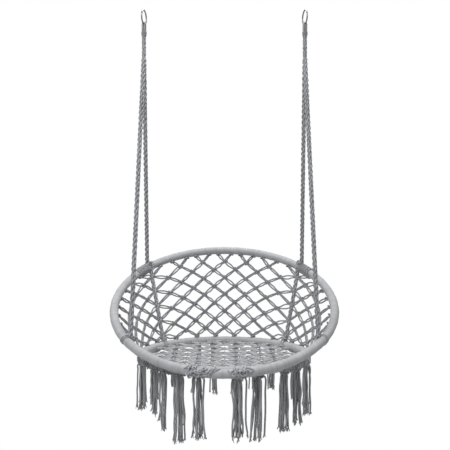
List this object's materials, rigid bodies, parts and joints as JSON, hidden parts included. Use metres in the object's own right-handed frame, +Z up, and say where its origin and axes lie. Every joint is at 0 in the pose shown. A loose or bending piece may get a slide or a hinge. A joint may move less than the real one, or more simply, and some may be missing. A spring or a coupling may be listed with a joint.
{
  "type": "hanging nest swing",
  "caption": "Round hanging nest swing of knotted cotton cord: a tilted back hoop and a level seat hoop joined by net, hung by rope pairs from rings, with a tassel fringe.",
  "frame": {"origin": "midway between the centres of the two hanging rings", "axes": "+Z up, +X along the line from the ring at -X to the ring at +X, the chair faces -Y"},
  "size_m": [0.8, 0.7243, 1.4333],
  "materials": {
    "ring_steel": "bright plated steel wire",
    "hoop_steel": "powder-coated steel tube under the winding",
    "wound_cord": "grey cotton cord, close wound",
    "net_cord": "grey cotton cord, laid and knotted",
    "rope_cord": "grey cotton rope, twisted knotting",
    "fringe_cord": "grey cotton cord with frayed ends"
  },
  "bodies": {
    "rings": {"hanging_ring_left": "ring_steel", "hanging_ring_right": "ring_steel"},
    "eyes": {"rope_eye_left": "rope_cord", "rope_eye_right": "rope_cord"},
    "ropes_left": {"eye_whipping_left": "rope_cord", "rope_front_left": "rope_cord", "rope_rear_left": "rope_cord"},
    "ropes_right": {"eye_whipping_right": "rope_cord", "rope_front_right": "rope_cord", "rope_rear_right": "rope_cord"},
    "back": {"back_hoop_tube": "hoop_steel", "back_hoop_wrap": "wound_cord", "back_knot_front_left": "rope_cord", "back_knot_rear_left": "rope_cord", "back_knot_front_right": "rope_cord", "back_knot_rear_right": "rope_cord", "lower_rope_front_left": "rope_cord", "lower_rope_rear_left": "rope_cord", "lower_rope_front_right": "rope_cord", "lower_rope_rear_right": "rope_cord", "side_net_left": "net_cord", "side_net_right": "net_cord", "front_net_left": "net_cord", "front_net_right": "net_cord", "back_net": "net_cord", "front_lashing_left": "rope_cord", "front_lashing_middle": "rope_cord", "front_lashing_right": "rope_cord"},
    "seat": {"seat_hoop_tube": "hoop_steel", "seat_hoop_wrap": "wound_cord", "seat_knot_front_left": "rope_cord", "seat_knot_rear_left": "rope_cord", "seat_knot_front_right": "rope_cord", "seat_knot_rear_right": "rope_cord", "seat_net": "net_cord", "tassel_collars": "fringe_cord", "tassel_01": "fringe_cord", "tassel_02": "fringe_cord", "tassel_03": "fringe_cord", "tassel_04": "fringe_cord", "tassel_05": "fringe_cord", "tassel_06": "fringe_cord", "tassel_07": "fringe_cord", "tassel_08": "fringe_cord", "tassel_09": "fringe_cord", "tassel_10": "fringe_cord", "tassel_11": "fringe_cord", "tassel_12": "fringe_cord", "tassel_13": "fringe_cord", "tassel_14": "fringe_cord", "tassel_15": "fringe_cord", "tassel_16": "fringe_cord", "tassel_17": "fringe_cord", "tassel_18": "fringe_cord", "tassel_19": "fringe_cord", "tassel_20": "fringe_cord"}
  },
  "joints": [
    {"name": "swing_fore_aft", "type": "hinge", "parent": "rings", "child": "eyes", "pos_m": [0, 0, 0], "axis": [1, 0, 0], "range_deg": [-35, 35]},
    {"name": "sway_left", "type": "hinge", "parent": "eyes", "child": "ropes_left", "pos_m": [-0.284, 0, -0.0578], "axis": [0, 0.8926, 0.4509], "range_deg": [-18, 18]},
    {"name": "sway_right", "type": "hinge", "parent": "eyes", "child": "ropes_right", "pos_m": [0.284, 0, -0.0578], "axis": [0, 0.8926, 0.4509], "range_deg": [-18, 18]},
    {"name": "basket_level", "type": "hinge", "parent": "ropes_left", "child": "back", "pos_m": [-0.30266, 0.00891, -1.00322], "axis": [0, 0.8926, 0.4509], "range_deg": [-16.95, 16.95]},
    {"name": "seat_fold", "type": "hinge", "parent": "back", "child": "seat", "pos_m": [0, -0.311, -1.183], "axis": [1, 0, 0], "range_deg": [0, 24], "deforming": ["lower_rope_front_left", "lower_rope_rear_left", "lower_rope_front_right", "lower_rope_rear_right", "side_net_left", "side_net_right", "front_net_left", "front_net_right", "back_net", "front_lashing_left", "front_lashing_middle", "front_lashing_right"]}
  ],
  "couplings": [
    {"joint": "sway_right", "follows": "sway_left", "ratio": 1},
    {"joint": "basket_level", "follows": "sway_left", "ratio": -0.94}
  ]
}
